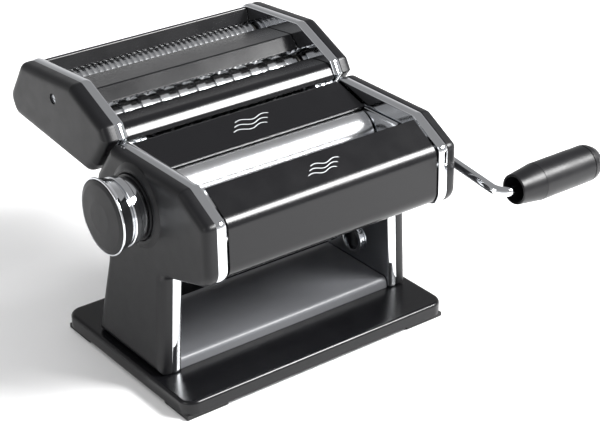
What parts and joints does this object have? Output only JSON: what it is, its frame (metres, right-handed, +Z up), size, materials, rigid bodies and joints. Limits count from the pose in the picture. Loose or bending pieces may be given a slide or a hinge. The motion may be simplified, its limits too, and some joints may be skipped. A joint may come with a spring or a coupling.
{
  "type": "pasta roller machine",
  "caption": "Hand-cranked pasta roller with a slide-on noodle cutter head, a thickness knob, a removable crank and a flat rubber-footed base.",
  "frame": {"origin": "middle of the base, on the plane that the rubber feet stand on", "axes": "+X along the rollers towards the crank, -Y towards the front that the dough comes out of, +Z up"},
  "size_m": [0.284, 0.2441, 0.1598],
  "materials": {
    "black_coat": "satin black powder coat",
    "chrome": "polished chrome plate",
    "anodised": "fine turned, clear anodised",
    "black_plastic": "fine-grained satin black moulding",
    "rubber": "matt",
    "zinc_steel": "bright zinc plate",
    "bronze": "oiled sintered bronze",
    "gear_nylon": "natural nylon"
  },
  "bodies": {
    "body": {"base_plate": "black_coat", "rubber_feet": "rubber", "left_side_frame": "chrome", "right_side_frame": "chrome", "left_side_cover": "black_plastic", "right_side_cover": "black_plastic", "front_panel": "black_coat", "rear_panel": "black_coat", "floor_tray": "black_coat", "clamp_ring": "chrome", "side_guides": "chrome", "tie_rods": "zinc_steel", "tie_rod_screws": "zinc_steel", "base_screws": "zinc_steel", "front_scraper": "black_plastic", "rear_scraper": "black_plastic", "roller_bushes": "bronze", "carrier_guides": "zinc_steel", "index_plate": "black_plastic", "dock_rails": "zinc_steel"},
    "front_roller": {"front_roller": "anodised", "front_gear": "gear_nylon"},
    "crank": {"crank_rod": "chrome", "crank_pin": "zinc_steel"},
    "handle": {"handle_grip": "black_plastic", "handle_cap": "black_plastic"},
    "adjuster": {"adjuster_shaft": "zinc_steel", "adjuster_cams": "zinc_steel", "knob_screw": "zinc_steel", "knob_spring": "zinc_steel"},
    "knob": {"knob_drum": "chrome", "knob_cap": "black_plastic", "index_pin": "zinc_steel"},
    "carriers": {"left_carrier": "zinc_steel", "right_carrier": "zinc_steel"},
    "rear_roller": {"rear_roller": "anodised", "rear_gear": "gear_nylon"},
    "cutter_head": {"cutter_left_frame": "chrome", "cutter_right_frame": "chrome", "cutter_left_cover": "black_plastic", "cutter_right_cover": "black_plastic", "cutter_lip": "black_coat", "cutter_ridge": "black_coat", "cutter_rear_panel": "black_coat", "cutter_cover_screws": "zinc_steel", "cutter_bushes": "bronze", "dock_channels": "zinc_steel", "wide_combs": "zinc_steel", "fine_combs": "zinc_steel"},
    "wide_rear": {"wide_cutter_rear": "anodised", "wide_gear_rear": "gear_nylon"},
    "wide_front": {"wide_cutter_front": "anodised", "wide_gear_front": "gear_nylon"},
    "fine_rear": {"fine_cutter_rear": "anodised", "fine_gear_rear": "gear_nylon"},
    "fine_front": {"fine_cutter_front": "anodised", "fine_gear_front": "gear_nylon"}
  },
  "joints": [
    {"name": "front_roller_spin", "type": "hinge", "parent": "body", "child": "front_roller", "pos_m": [0, -0.04294, 0.10634], "axis": [1, 0, 0], "continuous": true},
    {"name": "crank_pull", "type": "slide", "parent": "front_roller", "child": "crank", "axis": [1, 0, 0], "range_m": [0, 0.02]},
    {"name": "handle_spin", "type": "hinge", "parent": "crank", "child": "handle", "pos_m": [0.13, -0.10481, 0.09864], "axis": [1, 0, 0], "continuous": true},
    {"name": "knob_turn", "type": "hinge", "parent": "body", "child": "adjuster", "pos_m": [0, -0.0105, 0.1105], "axis": [1, 0, 0], "range_deg": [0, 180]},
    {"name": "knob_pull", "type": "slide", "parent": "adjuster", "child": "knob", "axis": [-1, 0, 0], "range_m": [0, 0.003], "stiffness_N_per_m": 1500, "springref_m": -0.002, "deforming": ["knob_spring"]},
    {"name": "gap_slide", "type": "slide", "parent": "body", "child": "carriers", "axis": [0, -0.9919, -0.1271], "range_m": [0, 0.0042]},
    {"name": "rear_roller_spin", "type": "hinge", "parent": "carriers", "child": "rear_roller", "pos_m": [0, -0.00842, 0.11077], "axis": [1, 0, 0], "continuous": true},
    {"name": "cutter_slide", "type": "slide", "parent": "body", "child": "cutter_head", "axis": [0, -0.6006, 0.7996], "range_m": [0, 0.045]},
    {"name": "wide_rear_spin", "type": "hinge", "parent": "cutter_head", "child": "wide_rear", "pos_m": [0, 0.0578, 0.1296], "axis": [1, 0, 0], "continuous": true},
    {"name": "wide_front_spin", "type": "hinge", "parent": "cutter_head", "child": "wide_front", "pos_m": [0, 0.0388, 0.1296], "axis": [1, 0, 0], "continuous": true},
    {"name": "fine_rear_spin", "type": "hinge", "parent": "cutter_head", "child": "fine_rear", "pos_m": [0, 0.1028, 0.1358], "axis": [1, 0, 0], "continuous": true},
    {"name": "fine_front_spin", "type": "hinge", "parent": "cutter_head", "child": "fine_front", "pos_m": [0, 0.0838, 0.1358], "axis": [1, 0, 0], "continuous": true}
  ],
  "couplings": [
    {"joint": "rear_roller_spin", "follows": "front_roller_spin", "ratio": -1},
    {"joint": "knob_turn", "follows": "gap_slide", "rad_per_m": 747.99},
    {"joint": "wide_front_spin", "follows": "wide_rear_spin", "ratio": -1},
    {"joint": "fine_front_spin", "follows": "fine_rear_spin", "ratio": -1}
  ]
}
